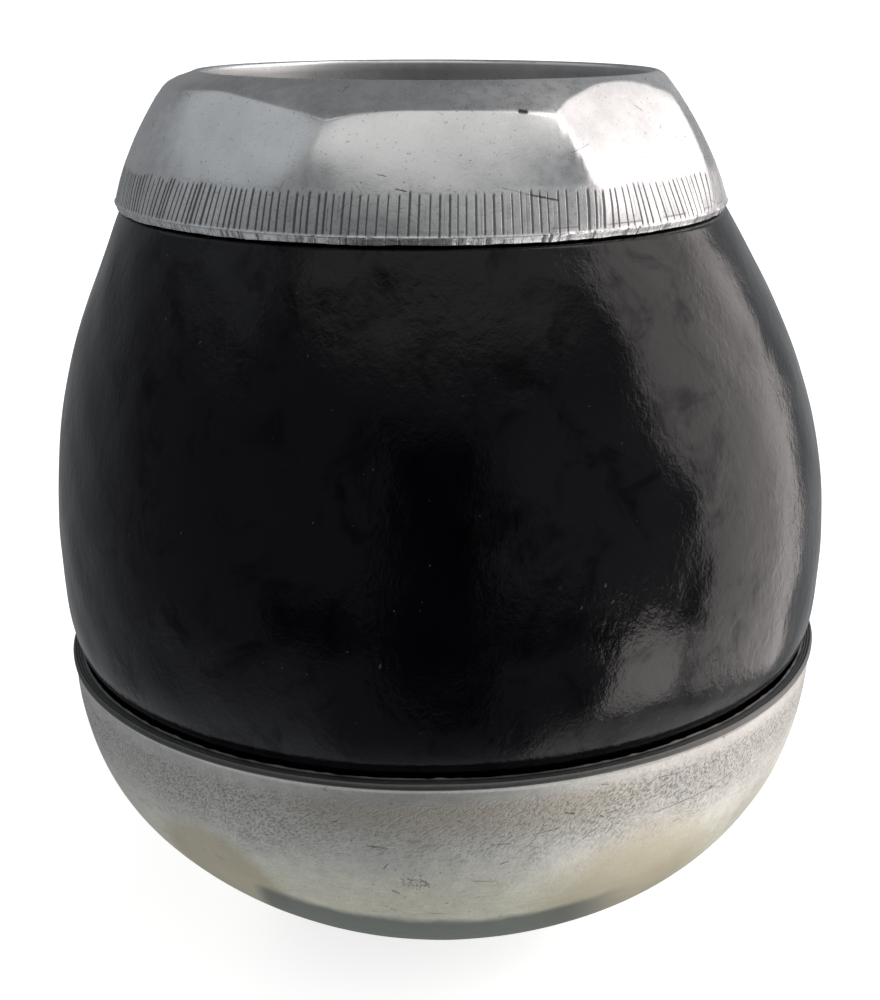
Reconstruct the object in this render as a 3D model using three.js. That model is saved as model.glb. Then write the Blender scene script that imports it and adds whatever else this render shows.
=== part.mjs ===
// A mate cup: a black gourd shell, an aluminium collar folded over its mouth,
// and an aluminium cup that the gourd's lower third sits in.
// Millimetres, +Z up. The origin is the centre of the flat foot, on the surface it stands on.
// Azimuth is measured from the front (-Y) towards the right (+X).
import * as THREE from "three";

// Driving dimensions
const FOOT_DEPTH = 33.5; // from the base cup's lip down to the foot
const CUP_RADIUS = 42.4; // base cup's outer wall at its lip
const CUP_CLOSING_DEPTH = 35.1; // depth at which the bowl's curve would close on the axis
const CUP_WALL = 1.15;
const BOWL_TOP_POWER = 2.38; // how slowly the bowl's curve starts to turn in below its lip
const BOWL_FLOOR_POWER = 1.75; // and how square it is towards its floor
const FLOOR_CROWDING = 1.7; // how much closer the mesh's rings are near the bowl's floor
const LIP_RADIUS = 42.65; // outer corner of the base cup's cut edge, slightly proud of its wall
const LIP_INNER_RADIUS = 41.4;
const LIP_CHAMFER_WIDTH = 0.2;
const LIP_CHAMFER_DEPTH = 0.4;
const LIP_SLOPE = Math.tan(THREE.MathUtils.degToRad(1.08)); // the cut edge rises to the right
const SLOPE_REACH = 20; // height over which that slope fades out above and below the edge
const FIT_GAP = 0.45; // between the gourd and the base cup round it

const BELLY_WALL = 3.6; // thickness of the gourd shell
const BED_TOP_DEPTH = 1.5; // depth below the lip at which the gourd's hidden bed starts
const INSIDE_BED_DEPTH = 2; // the same for its inside
const INSIDE_BED_SPREAD = 0.9; // the shell is that much thinner beside the base cup
const LEAN_HEIGHT = 50; // height above the lip at which the gourd's lean is given
const LEAN = -2.2; // sideways shift of the gourd's axis there

const COLLAR_EDGE = 47.8; // collar's lower edge, above the base cup's lip
const MOUTH_HEIGHT = 61.44; // crest of the mouth, above the base cup's lip
const COLLAR_SHIFT_LOW = -2.24; // collar's axis at its lower edge
const COLLAR_SHIFT_HIGH = -1.65; // collar's axis at the mouth
const COLLAR_WALL = 1.1;
const SKIRT_RADIUS = 23.6; // inside of the mouth
const SKIRT_WALL = 0.85;
const SKIRT_END = 52; // lower end of the fold inside the mouth, above the lip
const SEAT_GAP = 0.35; // between the collar and the gourd's neck
const SKIRT_OUTER = SKIRT_RADIUS + SKIRT_WALL;
const NECK_BORE = SKIRT_OUTER + SEAT_GAP; // inside of the gourd's neck, round the fold

const ROUND_SEGMENTS = 56;
const COLLAR_SEGMENTS = 72;
const COLLAR_PHASE = -19.5; // azimuth of a ridge between two flats, kept on a corner of the mesh

// The gourd's outline above the base cup: [radius, height above the lip]
const GOURD_OUTLINE = [
  [41.05, 0],
  [42.0, 2],
  [42.75, 8],
  [42.87, 14],
  [42.37, 20],
  [41.22, 26],
  [39.53, 32],
  [37.14, 38],
  [34.25, 44],
  [32.4, 47.5],
];

// The gourd's neck under the collar, up its outside and down its bore
const NECK_OUTLINE = [
  [31.3, COLLAR_EDGE - 0.3],
  [31.1, COLLAR_EDGE + 0.9],
  [26.6, 56.5],
  [NECK_BORE, 56.5],
  [NECK_BORE, 50],
  [27.2, 46.6],
];

// The collar's round outline, before its flats: [radius, height above the lip]
const BAND_RADIUS = 32.65;
const COLLAR_OUTLINE = [
  [BAND_RADIUS, 48.5],
  [32.21, 50.6],
  [31.63, 52.6],
  [31.0, 54.5],
  [30.2, 56.5],
  [29.1, 58.3],
  [27.45, 59.5],
  [25.95, 60.5],
  [24.95, 61.15],
  [24.41, MOUTH_HEIGHT],
];

// The collar's lower edge, below that outline
const EDGE_OUTLINE = [
  [BAND_RADIUS - COLLAR_WALL, COLLAR_EDGE],
  [BAND_RADIUS - 0.2, COLLAR_EDGE],
];

// The collar's fold, over the crest of the mouth, down inside it and back up its hidden side
const FOLD_OUTLINE = [
  [24.0, 61.5],
  [23.72, 61.3],
  [SKIRT_RADIUS, 60.8],
  [SKIRT_RADIUS, 56.5],
  [SKIRT_RADIUS, SKIRT_END],
  [SKIRT_OUTER, SKIRT_END],
  [SKIRT_OUTER, 58.6],
];

// Heights at which the inside of the collar's outer wall is taken, from under the dome down to the edge
const UNDER_HEIGHTS = [58.6, 56, 53, 49.5];

// Eight hand-worked flats round the collar: azimuth of the middle, radius there at two heights,
// and the bend of the flat (a large bend radius is nearly plane)
const FLAT_LOW = 54;
const FLAT_HIGH = 59;
const FLAT_REACH = 40; // degrees to each side of a flat's middle beyond which it cuts nothing
const FLATS = [
  { azimuth: -86.5, low: 30.8, high: 27.9, bend: 51 },
  { azimuth: -41.0, low: 30.45, high: 27.2, bend: 85 },
  { azimuth: 4.9, low: 30.55, high: 27.9, bend: 54 },
  { azimuth: 48.5, low: 30.2, high: 26.4, bend: 250 },
  { azimuth: 91.0, low: 30.4, high: 26.4, bend: 55 },
  { azimuth: 136.0, low: 30.4, high: 27.1, bend: 70 },
  { azimuth: 181.0, low: 30.4, high: 27.5, bend: 60 },
  { azimuth: 227.0, low: 30.3, high: 27.0, bend: 80 },
];

const degrees = THREE.MathUtils.degToRad;

// Radius of the bowl at a depth below the lip, for a bowl of the given top radius and closing depth.
function bowlRadius(depth, radius, closing) {
  const share = Math.min(depth / closing, 1);
  return radius * (1 - share ** BOWL_TOP_POWER) ** (1 / BOWL_FLOOR_POWER);
}

// Points [radius, height above the lip] down a bowl, closer together towards its floor.
function bowlWall(radius, closing, floorDepth, steps, firstDepth = 0) {
  const points = [];
  for (let i = 0; i <= steps; i++) {
    const spread = 1 - (1 - i / steps) ** FLOOR_CROWDING;
    const depth = firstDepth + (floorDepth - firstDepth) * spread;
    points.push([bowlRadius(depth, radius, closing), -depth]);
  }
  return points;
}

// A smooth curve through [radius, height] points, sampled at even steps.
function smooth(points, steps) {
  const curve = new THREE.SplineCurve(points.map(([r, z]) => new THREE.Vector2(r, z)));
  return curve.getPoints(steps).map((p) => [p.x, p.y]);
}

// The outline moved inwards by a distance along its own normal.
function inset(points, distance) {
  return points.map(([r, z], i) => {
    const before = points[Math.max(i - 1, 0)];
    const after = points[Math.min(i + 1, points.length - 1)];
    const run = after[0] - before[0];
    const rise = after[1] - before[1];
    const length = Math.hypot(run, rise);
    return [r - (distance * rise) / length, z + (distance * run) / length];
  });
}

// One ring of points round an axis shifted sideways; the radius may change with azimuth.
function ring(segments, phase, height, shift, radiusAt, slope = 0) {
  const points = [];
  for (let i = 0; i < segments; i++) {
    const azimuth = phase + (360 * i) / segments;
    const radius = radiusAt(azimuth);
    const x = shift + radius * Math.sin(degrees(azimuth));
    const y = -radius * Math.cos(degrees(azimuth));
    points.push(new THREE.Vector3(x, y, FOOT_DEPTH + height + slope * x));
  }
  return points;
}

// A closed surface through rings; a ring of one point is a pole. The last ring joins the first
// where the outline is a loop.
function surface(rings, isLoop) {
  const starts = [];
  const positions = [];
  for (const points of rings) {
    starts.push(positions.length / 3);
    for (const p of points) positions.push(p.x, p.y, p.z);
  }
  const index = [];
  const bands = isLoop ? rings.length : rings.length - 1;
  for (let j = 0; j < bands; j++) {
    const k = (j + 1) % rings.length;
    const segments = Math.max(rings[j].length, rings[k].length);
    for (let i = 0; i < segments; i++) {
      const next = (i + 1) % segments;
      const low = [i, next].map((s) => starts[j] + (s % rings[j].length));
      const high = [i, next].map((s) => starts[k] + (s % rings[k].length));
      if (rings[j].length > 1) index.push(low[0], low[1], high[1]);
      if (rings[k].length > 1) index.push(low[0], high[1], high[0]);
    }
  }
  const geometry = new THREE.BufferGeometry();
  geometry.setAttribute("position", new THREE.Float32BufferAttribute(positions, 3));
  geometry.setIndex(index);
  geometry.computeVertexNormals();
  return geometry;
}

// The cut edge's slope to the right, which fades out above and below it.
function slopeAt(height) {
  return LIP_SLOPE * Math.max(0, 1 - Math.abs(height) / SLOPE_REACH);
}

// The gourd's axis leans to one side as it rises.
function gourdShift(height) {
  return height > 0 ? LEAN * (height / LEAN_HEIGHT) ** 2 : 0;
}

// The collar's axis, straight from its lower edge to the mouth.
function collarShift(height) {
  const share = (height - COLLAR_EDGE) / (MOUTH_HEIGHT - COLLAR_EDGE);
  return THREE.MathUtils.lerp(COLLAR_SHIFT_LOW, COLLAR_SHIFT_HIGH, share);
}

// Radius of one flat at an azimuth and height: an arc of the bend radius, nearest the axis in its middle.
function flatRadius(flat, azimuth, height) {
  const share = (height - FLAT_LOW) / (FLAT_HIGH - FLAT_LOW);
  const nearest = THREE.MathUtils.lerp(flat.low, flat.high, share);
  const turn = THREE.MathUtils.euclideanModulo(azimuth - flat.azimuth + 180, 360) - 180;
  if (Math.abs(turn) > FLAT_REACH) return Infinity;
  const centre = nearest - flat.bend;
  const across = centre * Math.sin(degrees(turn));
  return centre * Math.cos(degrees(turn)) + Math.sqrt(flat.bend ** 2 - across ** 2);
}

// The collar's outside: its round outline cut back by whichever flat lies deepest.
function collarRadius(azimuth, height, round) {
  return Math.min(round, ...FLATS.map((flat) => flatRadius(flat, azimuth, height)));
}

// Radius of the collar's round outline at a height, read off the nearest of many points along it.
function roundRadius(points, height) {
  let nearest = points[0];
  for (const point of points) {
    if (Math.abs(point[1] - height) < Math.abs(nearest[1] - height)) nearest = point;
  }
  return nearest[0];
}

function makeBaseCup() {
  const outer = bowlWall(CUP_RADIUS, CUP_CLOSING_DEPTH, FOOT_DEPTH, 10, 1).reverse();
  const inner = bowlWall(CUP_RADIUS - CUP_WALL, CUP_CLOSING_DEPTH - CUP_WALL, FOOT_DEPTH - CUP_WALL, 8, 1);
  const lip = [
    [LIP_RADIUS, -LIP_CHAMFER_DEPTH],
    [LIP_RADIUS - LIP_CHAMFER_WIDTH, 0],
    [LIP_INNER_RADIUS, 0],
  ];
  const rings = [[new THREE.Vector3(0, 0, 0)]];
  for (const [radius, height] of [...outer, ...lip, ...inner]) {
    rings.push(ring(ROUND_SEGMENTS, 0, height, 0, () => radius, slopeAt(height)));
  }
  rings.push([new THREE.Vector3(0, 0, CUP_WALL)]);
  return surface(rings, false);
}

function makeGourdShell() {
  const bedDrop = CUP_WALL + FIT_GAP;
  const bedFloor = FOOT_DEPTH - bedDrop;
  const bedRadius = CUP_RADIUS - bedDrop;
  const bedClosing = CUP_CLOSING_DEPTH - bedDrop;
  const bed = bowlWall(bedRadius, bedClosing, bedFloor, 7, BED_TOP_DEPTH).reverse();
  const belly = smooth(GOURD_OUTLINE, 14);
  const insideBelly = inset(belly.filter(([, height]) => height < 44.5), BELLY_WALL)
    .filter(([, height]) => height > 1)
    .filter((_, i) => i % 2 === 0)
    .reverse();
  const insideBed = bowlWall(
    bedRadius - BELLY_WALL + INSIDE_BED_SPREAD,
    bedClosing - BELLY_WALL,
    bedFloor - BELLY_WALL,
    6,
    INSIDE_BED_DEPTH,
  );
  const rings = [[new THREE.Vector3(0, 0, bedDrop)]];
  for (const [radius, height] of [...bed, ...belly]) {
    rings.push(ring(ROUND_SEGMENTS, 0, height, gourdShift(height), () => radius, slopeAt(height)));
  }
  for (const [radius, height] of NECK_OUTLINE) {
    rings.push(ring(ROUND_SEGMENTS, 0, height, collarShift(height), () => radius));
  }
  for (const [radius, height] of [...insideBelly, ...insideBed]) {
    rings.push(ring(ROUND_SEGMENTS, 0, height, gourdShift(height), () => radius));
  }
  rings.push([new THREE.Vector3(0, 0, bedDrop + BELLY_WALL)]);
  return surface(rings, false);
}

function makeRimCollar() {
  const fine = smooth(COLLAR_OUTLINE, 200);
  const rings = [];
  const turn = (height, radiusAt) => {
    rings.push(ring(COLLAR_SEGMENTS, COLLAR_PHASE, height, collarShift(height), radiusAt));
  };
  for (const [radius, height] of EDGE_OUTLINE) turn(height, () => radius);
  for (const [radius, height] of smooth(COLLAR_OUTLINE, 13)) {
    turn(height, (azimuth) => collarRadius(azimuth, height, radius));
  }
  for (const [radius, height] of FOLD_OUTLINE) turn(height, () => radius);
  for (const height of UNDER_HEIGHTS) {
    const round = roundRadius(fine, height);
    turn(height, (azimuth) => collarRadius(azimuth, height, round) - COLLAR_WALL);
  }
  return surface(rings, true);
}

function metal(color, roughness) {
  return new THREE.MeshStandardMaterial({ color, roughness, metalness: 1 });
}

const polishedAluminium = metal(0xc9cacc, 0.28);
const wornAluminium = metal(0xb4b4ae, 0.42);
const blackLacquer = new THREE.MeshStandardMaterial({ color: 0x0c0c10, roughness: 0.2, metalness: 0 });

function part(name, geometry, material) {
  const mesh = new THREE.Mesh(geometry, material);
  mesh.name = name;
  return mesh;
}

const cup = new THREE.Group();
cup.add(part("base_cup", makeBaseCup(), wornAluminium));
cup.add(part("gourd_shell", makeGourdShell(), blackLacquer));
cup.add(part("rim_collar", makeRimCollar(), polishedAluminium));

export default cup;
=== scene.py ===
"""A mate cup: black lacquered gourd, worn aluminium base cup, hand-worked aluminium collar.

Sizes are in millimetres and become metres where a mesh is made. Heights are measured from the
base cup's lip, and azimuth in degrees from the front (-Y) towards the right (+X).
"""

import math

import bpy
import numpy as np
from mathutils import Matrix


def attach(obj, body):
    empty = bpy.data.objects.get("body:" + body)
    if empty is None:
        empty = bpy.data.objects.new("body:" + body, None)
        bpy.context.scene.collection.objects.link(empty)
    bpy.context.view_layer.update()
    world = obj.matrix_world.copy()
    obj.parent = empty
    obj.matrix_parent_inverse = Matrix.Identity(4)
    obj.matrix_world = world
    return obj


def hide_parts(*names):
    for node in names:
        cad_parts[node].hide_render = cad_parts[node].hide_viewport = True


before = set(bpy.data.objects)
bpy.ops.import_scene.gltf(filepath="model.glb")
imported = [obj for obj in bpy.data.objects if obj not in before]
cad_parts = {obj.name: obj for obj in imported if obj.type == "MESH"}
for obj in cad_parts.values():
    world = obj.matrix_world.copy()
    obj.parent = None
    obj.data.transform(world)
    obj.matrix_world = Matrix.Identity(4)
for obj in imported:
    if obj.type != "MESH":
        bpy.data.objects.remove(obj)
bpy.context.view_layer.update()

MM = 0.001
FOOT_DEPTH = 33.5
CUP_RADIUS = 42.4
CUP_CLOSING_DEPTH = 35.1
CUP_WALL = 1.15
BOWL_TOP_POWER = 2.38
BOWL_FLOOR_POWER = 1.75
FLOOR_CROWDING = 1.7
LIP_RADIUS = 42.65
LIP_INNER_RADIUS = 41.4
LIP_SLOPE = math.tan(math.radians(1.08))
SLOPE_REACH = 20
FIT_GAP = 0.45

BELLY_WALL = 3.6
BED_TOP_DEPTH = 1.5
INSIDE_BED_DEPTH = 2
INSIDE_BED_SPREAD = 0.9
GOURD_COLUMNS = 400
BASE_COLUMNS = 900
LEAN_HEIGHT = 50
LEAN = -2.2

COLLAR_EDGE = 47.8
BEAD_HEIGHT = 48.45
MARKS_LOW = 48.7
MARKS_HIGH = 52.0
MOUTH_HEIGHT = 61.44
COLLAR_SHIFT_LOW = -2.24
COLLAR_SHIFT_HIGH = -1.65
COLLAR_WALL = 1.1
BAND_RADIUS = 32.3
SKIRT_RADIUS = 23.6
SKIRT_WALL = 0.85
SKIRT_END = 52
SEAT_GAP = 0.35
FOLD_START = 61.3
BAND_TOP = 52.55
ROWS_OVER_RIM = 5

GOURD_TOP = 47.5
BELLY_ROWS = 146
INSIDE_LOW = 1
INSIDE_HIGH = 44.5

# Where the photograph was taken from, and how far down it looks
CAMERA_PLACE = (-0.25, -166.107, 102.123)
CAMERA_PITCH = 18.3815
CAMERA_LENS = 54.475

GOURD_OUTLINE = [
    (41.05, 0), (42.0, 2), (42.6, 5), (42.87, 9.5), (42.87, 14), (42.37, 20),
    (41.22, 26), (39.53, 32), (37.14, 38), (34.25, 44), (32.4, GOURD_TOP),
]
COLLAR_OUTLINE = [
    (32.62, 48.5), (32.21, 50.6), (31.63, 52.6), (31.1, 54.5), (30.3, 56.5),
    (29.1, 58.3), (27.45, 59.5), (25.95, 60.5), (24.95, 61.15), (24.41, MOUTH_HEIGHT),
]
# Eight hand-worked flats rise from the collar's lower edge to arches on the dome. The arches, as
# (azimuth, height): a low point is the cusp between two flats
FLATS_START = 48.5
ARCHES = [
    (-64, 59.2), (-61.5, 59.5), (-57.5, 59.85), (-52, 60.1), (-46, 60.15), (-39, 59.85), (-30, 59.3),
    (-22.5, 58.75), (-17, 58.15), (-12, 58.8), (-6, 59.05), (3, 59.1), (14, 59.0), (20, 58.8), (24.5, 58.5),
    (28, 59.4), (33, 60.2), (40, 60.9), (48, 61.05), (54, 60.85), (58, 60.5), (60.8, 60.15),
    (63.2, 59.8), (67, 59.95), (74, 60.6), (84, 61.05), (95, 60.6), (104, 59.0), (112, 59.9), (126, 60.3),
    (142, 59.8), (151, 58.4), (160, 59.6), (174, 59.9), (190, 59.4), (198, 58.3), (207, 59.4),
    (222, 60.1), (238, 59.6), (247, 58.2), (256, 59.1), (268, 59.2), (280, 59.1), (288, 59.1), (296, 59.2),
]
# Each ridge between flats, how far it turns on its way down, and the bow of the flat after it
RIDGES = [-64, -17, 24.5, 63.2, 104, 151, 198, 247, 296]
RIDGE_TURN = [1, -4, 9, 1, -3, 4, -3, 3, 1]
FLAT_BOW = [0.3, 0.3, 0.3, 0.75, 0.3, 0.2, 0.25, 0.5]
RIDGE_BOW = 0.85


def ease(share):
    """0 below 0, 1 above 1, and 3s^2 - 2s^3 between."""
    s = np.clip(share, 0, 1)
    return s * s * (3 - 2 * s)


def hump(value, low, high, edge):
    """1 between low and high, easing to 0 over the edge outside each."""
    return ease((value - low) / edge + 1) * ease((high - value) / edge + 1)


def soft_min(a, b, blend):
    """The smaller of a and b, with the crossing rounded over the blend."""
    near = np.maximum(blend - np.abs(a - b), 0) / blend
    return np.minimum(a, b) - near * near * blend / 4


def smooth_path(points, per_span=24):
    """Points along a curve through the given ones, each span a cubic with its ends' chords as slopes."""
    p = np.array(points, float)
    p = np.vstack([2 * p[0] - p[1], p, 2 * p[-1] - p[-2]])
    t = np.linspace(0, 1, per_span, endpoint=False)[:, None]
    spans = []
    for a, b, c, d in zip(p, p[1:], p[2:], p[3:]):
        spans.append(
            b + t * (c - a) / 2
            + t**2 * (a - 2.5 * b + 2 * c - d / 2)
            + t**3 * (1.5 * b - 1.5 * c + d / 2 - a / 2)
        )
    return np.vstack(spans + [p[-2][None]])


def wander(azimuth, height, rng, waves, size, radius):
    """A smooth random field from -1 to 1 or so: a sum of sine waves of about the given size.

    The counts of waves round the axis are whole numbers, so the field closes on itself.
    """
    total = 0
    around = 2 * math.pi * radius / size
    for _ in range(waves):
        count = round(around * rng.uniform(-1, 1))
        up = 2 * math.pi / size * rng.uniform(-1, 1)
        total = total + np.sin(np.radians(azimuth) * count + height * up + rng.uniform(0, 2 * math.pi))
    return total / math.sqrt(waves)


def slope_at(height):
    """Rise of the lip's plane towards the right, fading in a straight line above and below it."""
    return LIP_SLOPE * np.maximum(0, 1 - np.abs(height) / SLOPE_REACH)


def gourd_shift(height):
    """How far the gourd's axis leans left, with the square of the height."""
    return LEAN * (np.maximum(height, 0) / LEAN_HEIGHT) ** 2


def collar_shift(height):
    """The collar's own axis: a straight line from its lower edge to the mouth."""
    share = (height - COLLAR_EDGE) / (MOUTH_HEIGHT - COLLAR_EDGE)
    return COLLAR_SHIFT_LOW + (COLLAR_SHIFT_HIGH - COLLAR_SHIFT_LOW) * share


def place(radius, azimuth, height, shift, slope=0):
    """Rows by columns of points on rings of the given radius round a shifted axis."""
    x = shift + radius * np.sin(np.radians(azimuth))
    y = -radius * np.cos(np.radians(azimuth))
    z = FOOT_DEPTH + height + slope * x
    return np.stack(np.broadcast_arrays(x, y, z), axis=-1)


def bowl_radius(depth, radius, closing):
    """Radius of the base cup's bowl at a depth: a rounded curve that closes at the closing depth."""
    share = np.minimum(np.asarray(depth, float) / closing, 1)
    return radius * (1 - share**BOWL_TOP_POWER) ** (1 / BOWL_FLOOR_POWER)


def bowl_wall(radius, closing, floor_depth, steps, first_depth=0, spread=FLOOR_CROWDING):
    """Rows (radius, height) down a bowl, closer together towards its floor."""
    share = 1 - (1 - np.linspace(0, 1, steps + 1)) ** spread
    depth = first_depth + (floor_depth - first_depth) * share
    return np.stack([bowl_radius(depth, radius, closing), -depth], axis=1)


def inset(points, distance):
    """The outline moved inwards along its own normal."""
    along = np.gradient(points, axis=0)
    along = along / np.linalg.norm(along, axis=1, keepdims=True)
    return points + distance * np.stack([-along[:, 1], along[:, 0]], axis=1)


def make_piece(
    name, points, node, is_loop=False, floor=None, inner_floor=None, fields=None, is_flat=None
):
    """A closed mesh on a grid of rows and columns that runs once round the axis.

    The rows either join last to first, or end in a point on the axis at each end.
    """
    rows, columns = points.shape[:2]
    index = np.arange(rows * columns).reshape(rows, columns)
    low = index if is_loop else index[:-1]
    high = np.roll(index, -1, axis=0) if is_loop else index[1:]
    quads = np.stack([low, np.roll(low, -1, 1), np.roll(high, -1, 1), high], axis=-1).reshape(-1, 4)
    vertices = points.reshape(-1, 3)
    triangles = np.zeros((0, 3), int)
    if not is_loop:
        vertices = np.vstack([vertices, [[0, 0, floor], [0, 0, inner_floor]]])
        first, last = index[0], index[-1]
        below = np.full(columns, rows * columns)
        above = below + 1
        triangles = np.vstack([
            np.stack([below, np.roll(first, -1), first], axis=1),
            np.stack([above, last, np.roll(last, -1)], axis=1),
        ])
    corners = np.concatenate([quads.ravel(), triangles.ravel()])
    starts = np.concatenate([
        4 * np.arange(len(quads)),
        4 * len(quads) + 3 * np.arange(len(triangles)),
    ])
    mesh = bpy.data.meshes.new(name)
    mesh.vertices.add(len(vertices))
    mesh.vertices.foreach_set("co", (vertices * MM).astype(np.float32).ravel())
    mesh.loops.add(len(corners))
    mesh.loops.foreach_set("vertex_index", corners.astype(np.int32))
    mesh.polygons.add(len(starts))
    mesh.polygons.foreach_set("loop_start", starts.astype(np.int32))
    is_smooth = np.ones(len(starts), bool)
    if is_flat is not None:
        is_smooth[: rows * columns] = ~is_flat.ravel()
    mesh.polygons.foreach_set("use_smooth", is_smooth)
    mesh.update(calc_edges=True)
    for field, values in (fields or {}).items():
        flat = np.zeros(len(vertices), np.float32)
        flat[: rows * columns] = np.broadcast_to(values, (rows, columns)).ravel()
        mesh.attributes.new(field, "FLOAT", "POINT").data.foreach_set("value", flat)
    piece = bpy.data.objects.new(name, mesh)
    bpy.context.scene.collection.objects.link(piece)
    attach(piece, "root")
    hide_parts(node)
    return piece


# The rim collar


def cut_marks(rng):
    """Columns of the collar's grid: azimuth, groove depth, and the groove's lower and upper end.

    An engraved mark has two columns on its floor, one at each edge and one just outside each edge,
    which keeps the metal between marks smooth. A fine mark has three. Spacing, width and length
    vary as cut by hand.
    """
    columns = []
    at = 0.0
    around = 2 * math.pi * BAND_RADIUS
    while at < around - 0.7:
        turn = 2 * math.pi * at / around
        width = rng.uniform(0.19, 0.33) * (1 - 0.15 * math.sin(turn))
        if rng.random() < 0.12:
            width *= 1.35
        depth = rng.uniform(0.016, 0.026)
        ends = (MARKS_LOW + rng.normal(0, 0.05), MARKS_HIGH + rng.normal(0, 0.1))
        for offset, share in ((-0.62, 0), (-0.5, 0), (-0.25, 1), (0.25, 1), (0.5, 0), (0.62, 0)):
            columns.append((at + offset * width, share * depth, *ends))
        step = rng.uniform(0.62, 1.06) * (1 + 0.2 * math.sin(turn))
        if rng.random() < 0.22 and step > 0.72:
            fine = at + step * rng.uniform(0.42, 0.58)
            fine_ends = (ends[0] + rng.uniform(0, 0.8), ends[1] - rng.uniform(0, 1.2))
            for offset, share in ((-0.07, 0), (0, 1), (0.07, 0)):
                columns.append((fine + offset, share * 0.012, *fine_ends))
        at += step
    columns = np.array(columns)
    columns[:, 0] *= 360 / at
    return columns


DOME = smooth_path(COLLAR_OUTLINE)


def dome_radius(height):
    """Radius of the collar's round outline at a height."""
    return np.interp(height, DOME[:, 1], DOME[:, 0])


def once_round(azimuth):
    """The azimuth as an angle from the first ridge's up to 360 more."""
    return (azimuth - RIDGES[0]) % 360 + RIDGES[0]


def smooth_arches():
    """The arches as one smooth curve between each ridge and the next."""
    starts = [i for i, (azimuth, _) in enumerate(ARCHES) if azimuth in RIDGES]
    return np.vstack([smooth_path(ARCHES[a : b + 1], 12) for a, b in zip(starts, starts[1:])])


ARCH_LINE = smooth_arches()


def arch_height(azimuth):
    """Height at which the flat on this azimuth runs out into the dome."""
    return np.interp(once_round(azimuth), ARCH_LINE[:, 0], ARCH_LINE[:, 1])


def dome_at(azimuth, height):
    """The round outline, fuller just under the rim at the left."""
    from_left = (azimuth + 260) % 360 - 180
    below_rim = ease((height - 58.8) / 1.6) * ease((61.35 - height) / 0.75)
    return dome_radius(height) + 0.85 * hump(from_left, -22, 18, 24) * below_rim


def collar_radius(azimuth, height):
    """The dome cut by flats: up each meridian a bowed line from the lower edge to the arch.

    A flat bows least along its middle and most at its ridges, so that it is flatter than the dome
    from side to side too. The ridges turn a little on their way down.
    """
    down = np.clip((58.5 - height) / 10, 0, 1) ** 0.75
    turned = once_round(azimuth - np.interp(once_round(azimuth), RIDGES, RIDGE_TURN) * down)
    flat = np.clip(np.searchsorted(RIDGES, turned, "right") - 1, 0, len(RIDGES) - 2)
    left, right = np.take(RIDGES, flat), np.take(RIDGES, flat + 1)
    across = (2 * turned - left - right) / (right - left)
    low_bow = np.take(FLAT_BOW, flat)
    bow = low_bow + (RIDGE_BOW - low_bow) * across**2
    arch = arch_height(turned)
    share = np.clip((height - FLATS_START) / (arch - FLATS_START), 0, 1)
    low = dome_radius(FLATS_START)
    line = low + (dome_at(azimuth, arch) - low) * share + bow * 4 * share * (1 - share)
    cut = soft_min(dome_at(azimuth, height), line, 0.06 + 0.3 * bow)
    return np.where(share > 0, cut, dome_at(azimuth, height))


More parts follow.
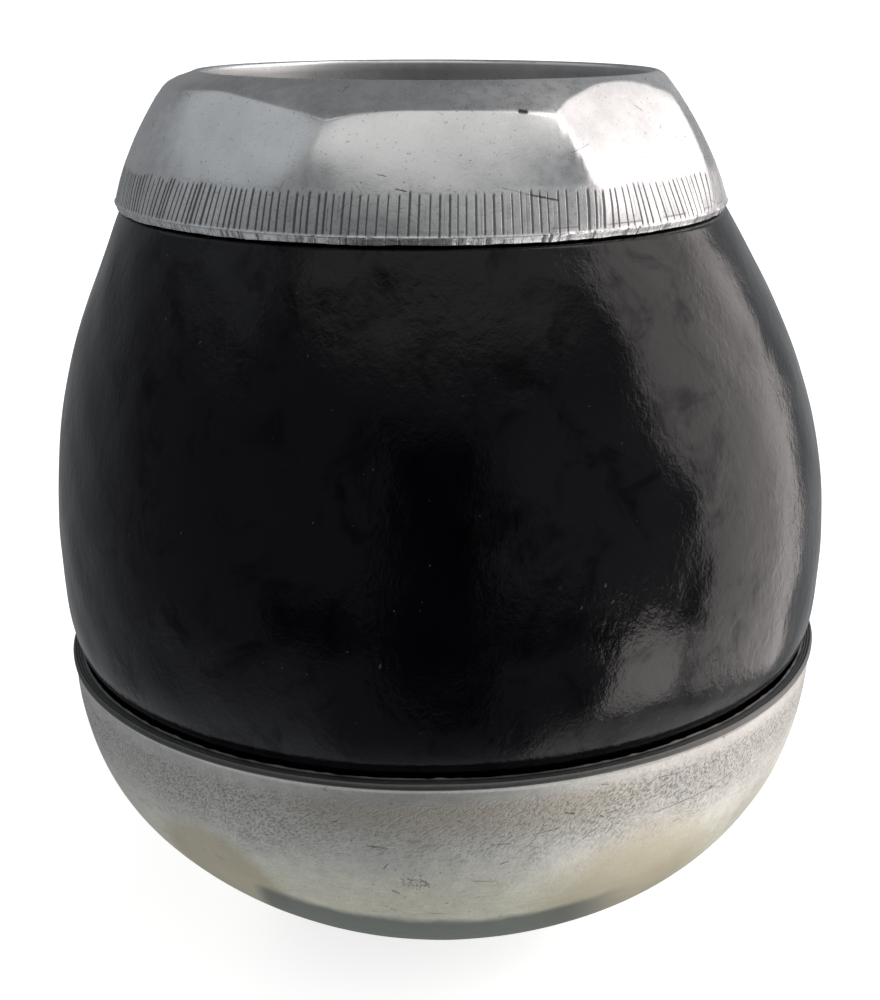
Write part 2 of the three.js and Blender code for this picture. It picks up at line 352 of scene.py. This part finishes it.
def make_collar():
    """Outer wall, rolled lip, fold inside the mouth and inner face, as one closed loop of rows."""
    rng = np.random.default_rng(7)
    marks = cut_marks(rng)
    azimuth, groove, groove_low, groove_high = marks.T
    count = len(azimuth)
    # Rows through the rolled edge, then through the band of marks
    band = np.array([
        COLLAR_EDGE, 47.88, 48.1, 48.36, BEAD_HEIGHT, 48.56, 48.72, 48.92, 48.97, 49.03,
        49.08, 50.6, 51.75, 52.0, 52.2, 52.4, BAND_TOP,
    ])[:, None]
    arch = arch_height(azimuth)
    zone = np.minimum(0.25, 0.4 * (FOLD_START - arch))
    rising = np.linspace(0, 1, 7)[1:, None]
    walls = band[-1] + (arch - zone - band[-1]) * rising
    bend = arch + zone * np.array([-0.3, -0.06, 0.06, 0.3, 1])[:, None]
    shoulder = arch + zone + (FOLD_START - arch - zone) * np.linspace(0, 1, 5)[1:, None]
    heights = np.vstack([np.broadcast_to(band, (len(band), count)), walls, bend, shoulder])

    outer = collar_radius(azimuth, heights)
    waves = wander(azimuth, heights, rng, 24, 5.5, BAND_RADIUS) * 0.026
    waves += wander(azimuth, heights, rng, 24, 2.4, BAND_RADIUS) * 0.006
    outer += waves * ease((heights - 52.5) / 2) * ease((61.2 - heights) / 1.5)

    depth = groove * ease((heights - groove_low) / 0.12 + 1) * ease((groove_high - heights) / 0.3 + 1)
    strokes = np.zeros(count)
    for _ in range(26):
        start = rng.uniform(-170, 170)
        strokes = np.maximum(strokes, hump(azimuth, start, start + rng.uniform(2, 7), 0.3))
    depth = np.maximum(depth, 0.012 * strokes * hump(heights, 48.95, 49.05, 0.05))
    outer -= depth
    grime = np.clip(depth / 0.017, 0, 1)

    lip_share = ease((BEAD_HEIGHT - heights) / (BEAD_HEIGHT - COLLAR_EDGE))
    nicks = rng.random(count) ** 12 * 0.14
    outer += 0.05 * hump(heights, BEAD_HEIGHT - 0.05, BEAD_HEIGHT + 0.05, 0.1)
    outer -= 0.22 * lip_share + nicks * hump(heights, COLLAR_EDGE, BEAD_HEIGHT, 0.05)
    grime = np.maximum(grime, np.clip(nicks / 0.1, 0, 1) * hump(heights, COLLAR_EDGE, 48.36, 0.05) * 0.7)
    ragged = wander(azimuth, 0 * azimuth, rng, 16, 2.2, BAND_RADIUS) * 0.035
    heights = heights + ragged * ease((48.4 - heights) / 0.6)

    skirt_outer = SKIRT_RADIUS + SKIRT_WALL
    fold = np.array([
        (24.52, 61.39), (24.3, 61.47), (24.05, 61.5), (23.85, 61.44), (23.7, 61.28), (23.62, 61.0),
        (SKIRT_RADIUS, 60.2), (SKIRT_RADIUS, 56.4), (SKIRT_RADIUS, SKIRT_END + 0.1),
        (SKIRT_RADIUS + 0.1, SKIRT_END), (skirt_outer - 0.1, SKIRT_END), (skirt_outer, 58.6),
    ])
    under_heights = np.array([58.6, 56, 53, 49.5, COLLAR_EDGE + 0.06])[:, None]
    under = collar_radius(azimuth, under_heights) - COLLAR_WALL
    base_edge = np.array([(BAND_RADIUS - 0.7, COLLAR_EDGE), (BAND_RADIUS - 0.05, COLLAR_EDGE)])

    rim_wave = wander(azimuth, fold[:, 1:], rng, 14, 11, SKIRT_RADIUS) * 0.04
    rim_wave *= hump(fold[:, 1:], 53, 61.2, 0.6)
    blocks = [
        (base_edge[:, :1] + np.zeros(count), base_edge[:, 1:] + ragged),
        (outer, heights),
        (fold[:, :1] + rim_wave, np.broadcast_to(fold[:, 1:], (len(fold), count))),
        (under, np.broadcast_to(under_heights, (len(under_heights), count))),
    ]
    radius = np.vstack([block[0] for block in blocks])
    height = np.vstack([block[1] for block in blocks])
    outer_start = len(base_edge)
    outer_end = outer_start + len(outer)
    stain = np.zeros_like(radius)
    stain[outer_start:outer_end] = grime
    inside = np.zeros(len(radius))
    inside[outer_end + ROWS_OVER_RIM :] = 1
    points = place(radius, azimuth, height, collar_shift(height))
    fields = {"grime": stain, "inside": inside[:, None]}
    is_outer = np.arange(len(radius))[:, None] < outer_end
    in_band = is_outer & (height > BEAD_HEIGHT) & (height < BAND_TOP)
    is_cut = in_band & ((groove > 0) | (np.roll(groove, -1) > 0))
    return make_piece(
        "collar", points, "rim_collar", is_loop=True, fields=fields, is_flat=is_cut
    )


# The gourd


def make_gourd():
    """Bed inside the base cup, belly, neck under the collar and hollow inside, in one closed grid."""
    rng = np.random.default_rng(11)
    azimuth = np.arange(GOURD_COLUMNS) * 360 / GOURD_COLUMNS
    bed_drop = CUP_WALL + FIT_GAP
    bed_floor = FOOT_DEPTH - bed_drop
    bed = bowl_wall(
        CUP_RADIUS - bed_drop, CUP_CLOSING_DEPTH - bed_drop, bed_floor, 12, BED_TOP_DEPTH
    )[::-1]
    outline = smooth_path(GOURD_OUTLINE, 40)
    heights = np.linspace(0, GOURD_TOP, BELLY_ROWS)
    belly = np.stack([np.interp(heights, outline[:, 1], outline[:, 0]), heights], axis=1)
    seat = SKIRT_RADIUS + SKIRT_WALL + SEAT_GAP
    neck = np.array([
        (31.3, GOURD_TOP), (31.1, 48.7), (26.6, 56.5), (seat, 56.5), (seat, 50), (27.2, 46.6),
    ])
    inside_belly = inset(belly, BELLY_WALL)[::-1]
    is_kept = (inside_belly[:, 1] > INSIDE_LOW) & (inside_belly[:, 1] < INSIDE_HIGH)
    inside_belly = inside_belly[is_kept][::5]
    drop = bed_drop + BELLY_WALL
    inside_bed = bowl_wall(
        CUP_RADIUS - drop + INSIDE_BED_SPREAD, CUP_CLOSING_DEPTH - drop, bed_floor - BELLY_WALL,
        16, INSIDE_BED_DEPTH,
    )
    profile = np.vstack([bed, belly, neck, inside_belly, inside_bed])
    radius, height = profile[:, :1], profile[:, 1:]
    row = np.arange(len(profile))[:, None]
    neck_start = len(bed) + len(belly)
    is_neck = (row >= neck_start) & (row < neck_start + len(neck))
    is_inside = row >= neck_start + 2
    shift = np.where(is_neck, collar_shift(height), gourd_shift(height))
    slope = np.where(row < neck_start, slope_at(height), 0)
    swell = wander(azimuth, height, rng, 20, 26, CUP_RADIUS) * 0.1
    swell += wander(azimuth, height, rng, 30, 8, CUP_RADIUS) * 0.035
    swell += wander(azimuth, height, rng, 30, 3.6, CUP_RADIUS) * 0.006
    swell *= np.where(row < neck_start, hump(height, 3, 44, 3), 0)
    pith = wander(azimuth, height, rng, 30, 7, CUP_RADIUS) * 0.12
    swell = swell + pith * np.where(row >= neck_start + len(neck), 1, 0)
    points = place(radius + swell, azimuth, height, shift, slope)
    return make_piece(
        "gourd", points, "gourd_shell",
        floor=bed_drop, inner_floor=drop, fields={"inside": np.where(is_inside, 1.0, 0.0)},
    )


# The base cup


def make_base_cup():
    """Outer bowl up to the cut edge, its grooved top and burr, and the inner wall back down."""
    rng = np.random.default_rng(5)
    azimuth = np.arange(BASE_COLUMNS) * 360 / BASE_COLUMNS
    outer = bowl_wall(CUP_RADIUS, CUP_CLOSING_DEPTH, FOOT_DEPTH, 52, 1.3)[::-1]
    inner = bowl_wall(CUP_RADIUS - CUP_WALL, CUP_CLOSING_DEPTH - CUP_WALL, FOOT_DEPTH - CUP_WALL, 9, 1.2)
    lip = np.array([
        (CUP_RADIUS, -1.05), (42.42, -0.86), (42.5, -0.76), (LIP_RADIUS - 0.02, -0.66),
        (LIP_RADIUS, -0.5), (LIP_RADIUS, -0.36), (LIP_RADIUS - 0.04, -0.24),
        (LIP_RADIUS - 0.14, -0.08), (LIP_RADIUS - 0.22, -0.01), (42.32, 0), (42.28, -0.05),
        (42.22, -0.05), (42.17, 0), (42.05, 0.01), (42.01, -0.04), (41.96, -0.04),
        (41.92, 0), (41.82, 0), (41.72, -0.03), (41.62, 0.02), (41.54, 0.1), (41.48, 0.12), (41.42, 0.07),
        (LIP_INNER_RADIUS, -0.06), (LIP_INNER_RADIUS - 0.03, -0.3),
    ])
    profile = np.vstack([outer, lip, inner])
    radius, height = profile[:, :1], profile[:, 1:]
    row = np.arange(len(profile))[:, None]
    is_outer = row < len(outer)
    is_lip = ~is_outer & (row < len(outer) + len(lip))
    depth = -height
    dents = wander(azimuth, height, rng, 24, 24, CUP_RADIUS) * 0.05
    dents += wander(azimuth, height, rng, 30, 7, CUP_RADIUS) * 0.014
    dents = dents * np.where(is_outer, ease((depth - 1) / 5) * ease((FOOT_DEPTH - depth) / 6), 0)
    jagged = wander(azimuth, 0 * azimuth, rng, 40, 1.6, CUP_RADIUS)
    jagged = np.clip(jagged, -1.2, 1.8) * 0.055 * hump(radius, LIP_INNER_RADIUS, 41.62, 0.06)
    ripple = wander(azimuth, 0 * azimuth, rng, 20, 9, CUP_RADIUS) * 0.03
    uneven = (jagged + ripple) * np.where(is_lip, 1, 0)
    points = place(radius + dents, azimuth, height + uneven, 0, slope_at(height))
    points[0, :, 2] = 0
    return make_piece("base", points, "base_cup", floor=0, inner_floor=CUP_WALL)


# Materials


class Wire:
    """One value in a node tree; operators on it add Math nodes."""

    def __init__(self, shop, socket):
        self.shop = shop
        self.socket = socket

    def __add__(self, other):
        return self.shop.math("ADD", self, other)

    def __sub__(self, other):
        return self.shop.math("SUBTRACT", self, other)

    def __mul__(self, other):
        return self.shop.math("MULTIPLY", self, other)

    def __radd__(self, other):
        return self.shop.math("ADD", other, self)

    def __rsub__(self, other):
        return self.shop.math("SUBTRACT", other, self)

    def __rmul__(self, other):
        return self.shop.math("MULTIPLY", other, self)


class Shop:
    """Builds the nodes of one material or of the world."""

    def __init__(self, owner):
        owner.use_nodes = True
        self.tree = owner.node_tree
        self.tree.nodes.clear()

    def node(self, kind, settings, inputs, output=0):
        """A node of a type with its settings, then its sockets' values or links; gives one output."""
        made = self.tree.nodes.new(kind)
        for key, value in settings.items():
            setattr(made, key, value)
        for key, value in inputs.items():
            if isinstance(value, Wire):
                self.tree.links.new(value.socket, made.inputs[key])
            else:
                made.inputs[key].default_value = value
        return Wire(self, made.outputs[output])

    def math(self, operation, *values):
        return self.node("ShaderNodeMath", {"operation": operation}, dict(enumerate(values)))

    def clamp(self, value):
        return self.node("ShaderNodeClamp", {}, {"Value": value})

    def step(self, value, low, high):
        """0 at low, 1 at high, eased between."""
        return self.node(
            "ShaderNodeMapRange", {"interpolation_type": "SMOOTHSTEP"},
            {"Value": value, "From Min": low, "From Max": high},
        )

    def mix(self, share, a, b):
        """Colour a where the share is 0 and b where it is 1."""
        return self.node("ShaderNodeMix", {"data_type": "RGBA"}, {0: share, 6: a, 7: b}, 2)

    def vector(self, operation, a, b, output=0):
        return self.node("ShaderNodeVectorMath", {"operation": operation}, {0: a, 1: b}, output)

    def noise(self, where, size, detail=2.0, roughness=0.5, distortion=0.0):
        """Noise with features of about the given size in millimetres."""
        return self.node(
            "ShaderNodeTexNoise", {},
            {"Vector": where, "Scale": 1 / size, "Detail": detail, "Roughness": roughness,
             "Distortion": distortion},
        )

    def attribute(self, name):
        """A mesh's own field of values, such as grime."""
        return self.node("ShaderNodeAttribute", {"attribute_name": name}, {}, 2)

    def split(self, where):
        """The three parts of a vector."""
        made = self.node("ShaderNodeSeparateXYZ", {}, {0: where})
        outputs = made.socket.node.outputs
        return [Wire(self, outputs[i]) for i in range(3)]

    def surface(self, shader):
        self.tree.links.new(
            shader.socket, self.tree.nodes.new("ShaderNodeOutputMaterial").inputs["Surface"]
        )


def gray(level):
    return (level, level, level, 1.0)


def near_spot(shop, where, spot, reach, edge):
    """1 within the reach of a point, easing to 0 over the edge beyond it."""
    away = shop.vector("DISTANCE", where, spot, 1)
    return 1 - shop.step(away, reach, reach + edge)


def dashes(shop, where, cell, length, width, share, tilt):
    """Scattered short scratches: one in some cells of the given size, each with its own slant."""
    centre = shop.node("ShaderNodeTexVoronoi", {"feature": "F1"}, {"Vector": where, "Scale": 1 / cell}, 2)
    offset = shop.vector("SUBTRACT", where, centre)
    x, _, z = shop.split(offset)
    dice = shop.node("ShaderNodeTexWhiteNoise", {"noise_dimensions": "3D"}, {"Vector": centre}, 0)
    slant = shop.math("FRACT", dice * 7.3)
    across = shop.math("ABSOLUTE", z - (slant - 0.5) * tilt * x)
    away = shop.vector("LENGTH", offset, (0, 0, 0), 1)
    is_near = 1 - shop.step(away, length * 0.3, length * 0.5)
    is_thin = 1 - shop.step(across, width * 0.25, width * 0.6)
    return is_near * is_thin * shop.math("LESS_THAN", dice, share)


def scratches(shop, where, marks):
    """1 on the given scratches on the front: (x, z) of each end, width, depth of tone."""
    x, y, z = shop.split(where)
    flat = stretch(shop, where, (1.0, 0.0, 1.0))
    wobble = shop.noise(where, 0.5, 1, 0.5)
    total = 0.0
    for start, end, width, share in marks:
        total = total + scratch(shop, flat, wobble, start, end, width) * share
    return shop.clamp(total) * shop.math("LESS_THAN", y, 0.0)


def scratch(shop, flat, wobble, start, end, width):
    """1 on a scratch between two points (x, z), a little wavy."""
    along = np.subtract(end, start)
    length = float(np.linalg.norm(along))
    toward = (float(along[0]) / length, 0.0, float(along[1]) / length)
    away = shop.vector("SUBTRACT", flat, (start[0], 0.0, start[1]))
    reach = shop.vector("DOT_PRODUCT", away, toward, 1) * (1 / length)
    nearest = shop.vector("MULTIPLY", toward, shop.clamp(reach) * length)
    apart = shop.vector("DISTANCE", away, nearest, 1) + wobble * (width * 0.8)
    return shop.step(apart, width * 1.2, width * 0.6)


def object_mm(shop):
    """The piece's own coordinates, in millimetres."""
    where = shop.node("ShaderNodeTexCoord", {}, {}, 3)
    made = shop.vector("SCALE", where, (0, 0, 0))
    made.socket.node.inputs["Scale"].default_value = 1 / MM
    return made


def stretch(shop, where, factors):
    """Coordinates times a factor on each axis: a pattern on them is longer where the factor is small."""
    return shop.vector("MULTIPLY", where, factors)


def bump(shop, height, distance, strength):
    """A normal tilted by the slope of a height from 0 to 1, which stands for a distance in mm."""
    inputs = {"Height": height, "Distance": distance * MM, "Strength": strength}
    return shop.node("ShaderNodeBump", {}, inputs)


# Scratches that show on the front: (x, z) of each end, width, depth of tone
COLLAR_SCRATCHES = [
    ((6.9, 92.45), (7.5, 92.4), 0.32, 1.0), ((5.3, 86.1), (8.0, 85.4), 0.09, 0.45),
    ((8.0, 85.4), (10.3, 84.9), 0.15, 0.9), ((-4.1, 86.1), (-3.2, 85.9), 0.1, 0.8),
    ((-5.8, 87.3), (-5.0, 87.15), 0.08, 0.7), ((11.6, 88.9), (13.3, 89.5), 0.06, 0.6),
]
BASE_SCRATCHES = [
    ((20.3, 27.3), (27.0, 27.7), 0.09, 0.6), ((26.5, 27.8), (30.4, 28.7), 0.07, 0.6),
    ((33.6, 29.6), (36.4, 31.2), 0.06, 0.6), ((11.5, 29.5), (12.3, 29.3), 0.17, 0.7),
    ((-7.1, 26.3), (-5.3, 26.2), 0.16, 0.5), ((4.6, 26.6), (6.3, 26.7), 0.14, 0.45),
    ((-5.6, 23.6), (-5.2, 24.2), 0.13, 0.6), ((5.5, 24.2), (6.2, 24.5), 0.13, 0.6),
    ((-10.5, 28.5), (-9.9, 28.9), 0.12, 0.5), ((-4.8, 20.5), (-4.2, 20.2), 0.2, 0.5),
]


def make_collar_finish():
    """Hand-polished aluminium: cloudy grey, fine pits, short scratches, dark engraved marks; painted shade
    at the right.
    """
    material = bpy.data.materials.new("polished_aluminium")
    shop = Shop(material)
    where = object_mm(shop)
    z = shop.split(where)[2]
    grime = shop.attribute("grime")
    inside = shop.attribute("inside")
    clouds = shop.noise(where, 4.2, 2, 0.6)
    mottle = shop.noise(where, 0.9, 2, 0.65)
    grain = shop.noise(where, 0.22, 2, 0.6)
    pits = shop.step(shop.noise(where, 0.33, 1, 0.5), 0.69, 0.76)
    edge_z = FOOT_DEPTH + COLLAR_EDGE
    marks_z = FOOT_DEPTH + MARKS_HIGH
    band = shop.step(z, edge_z, edge_z + 0.5) * (1 - shop.step(z, marks_z + 0.4, marks_z + 0.8))
    specks = shop.step(shop.noise(where, 0.3, 2, 0.7), 0.5, 0.72) * band
    lines = dashes(shop, where, 3.1, 1.7, 0.11, 0.3, 3.0)
    edge = 1 - shop.step(z, edge_z + 0.5, edge_z + 0.7)
    streaks = shop.step(shop.noise(stretch(shop, where, (1.0, 1.0, 0.12)), 0.3, 2, 0.7), 0.42, 0.6) * edge
    cuts = scratches(shop, where, COLLAR_SCRATCHES)
    # painted shade: a wide spot on the right flat is darkened in tone, against the bright panel's
    # reflection there
    dimmed_patch = near_spot(shop, where, (19.5, -21.5, 87.5), 6.5, 8.0)
    # painted shade: near the collar's right edge the tone is darkened, where the bright panel's reflection
    # spreads
    side = near_spot(shop, where, (30.5, -9.0, 86.0), 7.5, 3.5)
    dark_edge = near_spot(shop, where, (-3.6, -32.2, 81.6), 3.6, 2.5) * edge
    fine_lines = dashes(shop, stretch(shop, where, (1.0, 1.0, 1.3)), 1.7, 1.2, 0.05, 0.5, 5.0)
    tone = 0.88 + (clouds - 0.5) * 0.34 + (mottle - 0.5) * 0.2 + (grain - 0.5) * 0.12
    tone = tone - specks * 0.22 - pits * 0.3 - lines * 0.4 - fine_lines * 0.16 - streaks * 0.3
    tone = (tone - cuts * 0.8) * (1 - grime * 0.78) * (1 - inside * 0.3) * (1 - dimmed_patch * 0.3)
    tone = tone * (1 - dark_edge * 0.6) * (1 - side * 0.25)
    tone = shop.clamp(tone)
    color = shop.mix(tone, (0.03, 0.032, 0.035, 1), (0.9, 0.905, 0.91, 1))
    roughness = 0.28 + (clouds - 0.5) * 0.12 + (mottle - 0.5) * 0.16
    roughness = roughness + band * 0.08 + grime * 0.25 + inside * 0.2
    relief = grain * 0.3 + mottle * 0.7 - specks * 0.5 - pits * 0.5 - lines * 0.8 - streaks
    normal = bump(shop, relief, 0.012, 0.9)
    shader = shop.node(
        "ShaderNodeBsdfPrincipled", {},
        {"Base Color": color, "Metallic": 1.0, "Roughness": shop.clamp(roughness), "Normal": normal},
    )
    shop.surface(shader)
    return material


def make_base_finish():
    """Worn cast aluminium: pitted under the lip, scratched, with tan tarnish low down; painted shade in
    slate at the lower front, on the lip and at the right.
    """
    material = bpy.data.materials.new("worn_aluminium")
    shop = Shop(material)
    where = object_mm(shop)
    x, _, z = shop.split(where)
    depth = FOOT_DEPTH - z + LIP_SLOPE * x
    clouds = shop.noise(where, 7.5, 2, 0.6)
    mottle = shop.noise(where, 1.6, 2, 0.65)
    streaks = shop.noise(stretch(shop, where, (0.35, 0.35, 2.2)), 0.8, 3, 0.65)
    grain = shop.noise(where, 0.3, 2, 0.6)
    patchy = shop.noise(where, 5, 2, 0.6)
    zone = shop.step(depth, 1.2, 3.2) * (1 - shop.step(depth + (patchy - 0.5) * 8, 4.5, 11.5))
    slant = shop.vector("DOT_PRODUCT", where, (0.85, 0.0, 0.53), 1)
    slanted = shop.vector("SUBTRACT", where, shop.vector("MULTIPLY", (0.55, 0.0, 0.34), slant))
    pits = shop.step(shop.noise(slanted, 0.21, 2, 0.7), 0.44, 0.64) * zone
    lone_pits = shop.step(shop.noise(where, 0.55, 1, 0.5), 0.7, 0.77) * (1 - zone * 0.6)
    cluster = near_spot(shop, stretch(shop, where, (0.75, 1.0, 1.0)), (-1.9, -40.6, 21.9), 0.3, 2.2)
    cluster = shop.step(shop.noise(where, 0.4, 2, 0.7) + cluster * 0.2, 0.68, 0.78) * cluster
    lines = dashes(shop, where, 5.2, 3.4, 0.15, 0.2, 0.5)
    cuts = scratches(shop, where, BASE_SCRATCHES)
    short_lines = dashes(shop, where, 2.6, 1.1, 0.12, 0.22, 2.5)
    wobble = (shop.noise(where, 4, 2, 0.5) - 0.5) * 5
    tan_right = near_spot(shop, where, (18.5, -33.0, 16.5), 6.0, 7.0)
    tan_left = near_spot(shop, where, (-22.5, -31.0, 17.0), 6.0, 3.0)
    # painted shade: the lower front is painted dark slate-green, standing in for the dark the bottom
    # mirrors
    slate = 1 - shop.step(z + wobble * 0.3 - x * x * 0.005, 14.6, 16.2)
    slate = slate * shop.step(x, -19.5, -17.5) * shop.step(x, 20, 12)
    tan = shop.clamp(tan_right + tan_left) * (0.6 + clouds * 0.6)
    tone = 0.8 + (clouds - 0.5) * 0.2 + (mottle - 0.5) * 0.26 + (streaks - 0.5) * 0.26 + (grain - 0.5) * 0.3
    # painted shade: the top half millimetre of the lip is painted dark, standing in for the black gourd it
    # mirrors
    painted_dark_lip = 1 - shop.step(depth, 0.5, 0.64)
    # painted shade: the right side below the lip is darkened, against the bright panel's reflection there
    painted_shade_right = shop.step(x, 8, 28) * (1 - shop.step(depth, 4, 11)) * 0.3
    tone = tone - pits * 0.26 - lone_pits * 0.25 - cluster * 0.45
    tone = (tone - lines * 0.3 - short_lines * 0.4 - cuts * 0.8) * (1 - painted_dark_lip * 0.6) * (1 - painted_shade_right)
    bare = shop.mix(shop.clamp(tone), (0.05, 0.05, 0.045, 1), (0.93, 0.915, 0.87, 1))
    brown = zone * (1 - shop.step(depth, 3.5, 8)) * (1 - shop.step(shop.math("ABSOLUTE", x - 2), 10, 22))
    yellowed = shop.mix(1 - shop.step(z, 18, 27), (1, 1, 1, 1), (1.0, 0.985, 0.87, 1))
    bare = shop.vector("MULTIPLY", bare, yellowed)
    bare = shop.mix(shop.clamp(brown * 0.5), bare, (0.6, 0.53, 0.44, 1))
    warm = shop.mix(shop.clamp(tan * 0.75), bare, (0.52, 0.45, 0.31, 1))
    color = shop.mix(shop.clamp(slate * 0.82), warm, (0.13, 0.155, 0.142, 1))
    # the lip's painted shade also pulls its colour towards dark grey-blue
    color = shop.mix(painted_dark_lip * 0.6, color, (0.05, 0.053, 0.062, 1))
    roughness = 0.5 + (clouds - 0.5) * 0.12 + (streaks - 0.5) * 0.12 + zone * 0.06 + pits * 0.15
    relief = grain * 0.5 + mottle * 0.6 - pits * 0.9 - cluster * 1.6 - lines * 0.8
    normal = bump(shop, relief, 0.035, 0.9)
    shader = shop.node(
        "ShaderNodeBsdfPrincipled", {},
        {"Base Color": color, "Metallic": 1.0, "Roughness": shop.clamp(roughness), "Normal": normal},
    )
    shop.surface(shader)
    return material


def make_gourd_finish():
    """Deep black gloss over fine wrinkles outside, and plain cured gourd inside."""
    material = bpy.data.materials.new("black_lacquered_gourd")
    shop = Shop(material)
    where = object_mm(shop)
    inside = shop.attribute("inside")
    tall = stretch(shop, where, (1.0, 1.0, 0.75))
    patches = shop.step(shop.noise(where, 9, 2, 0.5), 0.42, 0.66)
    crinkle = shop.noise(tall, 1.0, 3, 0.62, 0.4)
    peel = shop.noise(where, 0.34, 2, 0.5)
    sway = shop.noise(tall, 3.0, 2, 0.5)
    dust = shop.step(shop.noise(where, 0.45, 0, 0.5), 0.87, 0.885)
    fibre = shop.noise(stretch(shop, where, (1.0, 1.0, 0.2)), 1.1, 2, 0.65)
    depths = shop.noise(where, 6, 1, 0.6)
    lacquer = shop.mix(depths, (0.0004, 0.0004, 0.0009, 1), (0.0013, 0.0011, 0.0024, 1))
    lacquer = shop.mix(dust * 0.25, lacquer, gray(0.1))
    pith = shop.mix(fibre, (0.16, 0.085, 0.035, 1), (0.42, 0.28, 0.14, 1))
    color = shop.mix(inside, lacquer, pith)
    dimmed_patch = shop.step(shop.noise(where, 5.5, 3, 0.7, 0.6), 0.48, 0.72) * (1 - inside) * 0.5
    roughness = 0.13 + patches * 0.05 + (sway - 0.5) * 0.06 + dust * 0.3 + inside * 0.5
    relief = crinkle * (0.5 + patches * 0.9) + sway * 0.8 + peel * 0.22
    normal = bump(shop, relief, 0.06, 0.8)
    shader = shop.node(
        "ShaderNodeBsdfPrincipled", {},
        {"Base Color": color, "Roughness": shop.clamp(roughness), "Metallic": dimmed_patch,
         "Specular IOR Level": 0.27, "Normal": normal},
    )
    shop.surface(shader)
    return material


# Floor, light and camera


def add_light():
    """A tent of soft light: dim all round, with a large bright panel at the right."""
    world = bpy.data.worlds.new("light_tent")
    bpy.context.scene.world = world
    shop = Shop(world)
    direction = shop.node("ShaderNodeTexCoord", {}, {}, 0)
    x, y, z = shop.split(shop.vector("NORMALIZE", direction, (0, 0, 0)))
    turn = shop.math("ARCTAN2", x, y * -1.0) * math.degrees(1)
    rise = shop.math("ARCSINE", z) * math.degrees(1)

    def panel(azimuth, elevation, half_width, half_height, edge):
        """1 inside a soft-edged rectangle of the sky, centred at an azimuth and elevation."""
        wide = shop.math("ABSOLUTE", turn - azimuth)
        tall = shop.math("ABSOLUTE", rise - elevation)
        across = shop.step(wide, half_width + edge, half_width - edge)
        return across * shop.step(tall, half_height + edge, half_height - edge)

    # The bright panel at the right, dimmer high up at its back, with a strip and a low patch beside it
    right = panel(101, 37, 29, 31, 3) + panel(102, -13, 24.5, 19, 3)
    shade = panel(125, 46, 22, 22, 6)
    strip = panel(120, 5, 8, 28, 4)
    patch = panel(62.5, -26, 12, 7, 3)
    # Pale walls of the tent: behind, above the front, at the left and below
    beyond = panel(150, 5, 20, 40, 8)
    front = panel(10, 57, 62, 20, 7)
    left = panel(-94, 41, 34, 17, 6)
    left_back = panel(-140, -5, 36, 25, 9)
    left_low = panel(-95, -46, 60, 16, 9)
    right_low = panel(80, -50, 48, 14, 7)
    right_side = panel(45, 5, 25, 22, 8)
    # Dark gaps in front, which the flats show
    dark_upright = panel(-2, -4, 13, 28, 4)
    dark_belt = panel(15, -17, 62, 3.5, 2.5)
    under = shop.step(rise, -38, -75)
    dark = shop.clamp(dark_upright + dark_belt) * 0.95
    dim = 0.18 * (1 - dark) + left * 0.3 + left_back * 0.08 + beyond * 0.22 + under * 0.3
    dim = dim + left_low * 0.27 + right_side * 0.14
    sun = right * (2.3 - shade * 1.15) + strip * 0.35 + patch * 3.6
    cool = shop.vector("MULTIPLY", (0.95, 0.985, 1.02), dim)
    warm = shop.vector("MULTIPLY", (1.0, 0.93, 0.905), sun)
    pale = shop.vector("MULTIPLY", (1.0, 0.985, 0.95), front * 0.58 + right_low * 0.95)
    light = shop.vector("ADD", shop.vector("ADD", cool, warm), pale)
    background = shop.node("ShaderNodeBackground", {}, {"Color": light})
    shop.tree.links.new(background.socket, shop.tree.nodes.new("ShaderNodeOutputWorld").inputs["Surface"])


def add_floor():
    """A wide pale floor, left out of glossy reflections as a matt studio sweep would be dim in them."""
    half = 150.0
    mesh = bpy.data.meshes.new("floor")
    corners = [(-half, -half, 0), (half, -half, 0), (half, half, 0), (-half, half, 0)]
    mesh.from_pydata(corners, [], [(0, 1, 2, 3)])
    floor = bpy.data.objects.new("floor", mesh)
    floor.location.z = -0.05 * MM
    bpy.context.scene.collection.objects.link(floor)
    material = bpy.data.materials.new("pale_floor")
    shop = Shop(material)
    shader = shop.node(
        "ShaderNodeBsdfPrincipled", {},
        {"Base Color": gray(0.9), "Roughness": 0.9, "Specular IOR Level": 0.0,
         "Emission Color": gray(1.0), "Emission Strength": 0.75},
    )
    shop.surface(shader)
    mesh.materials.append(material)
    floor.visible_glossy = False
    floor.visible_shadow = False


def add_camera():
    """Where the photograph was taken from: 166 mm in front of the axis, looking down 18 degrees."""
    data = bpy.data.cameras.new("camera")
    data.sensor_width = 36
    data.lens = CAMERA_LENS
    data.clip_start = 0.01
    data.clip_end = 500
    camera = bpy.data.objects.new("camera", data)
    camera.location = [MM * part for part in CAMERA_PLACE]
    camera.rotation_euler = (math.radians(90 - CAMERA_PITCH), 0, 0)
    bpy.context.scene.collection.objects.link(camera)
    bpy.context.scene.camera = camera


add_camera()
add_light()
add_floor()
make_collar().data.materials.append(make_collar_finish())
make_gourd().data.materials.append(make_gourd_finish())
make_base_cup().data.materials.append(make_base_finish())
bpy.context.scene.view_settings.view_transform = "Standard"
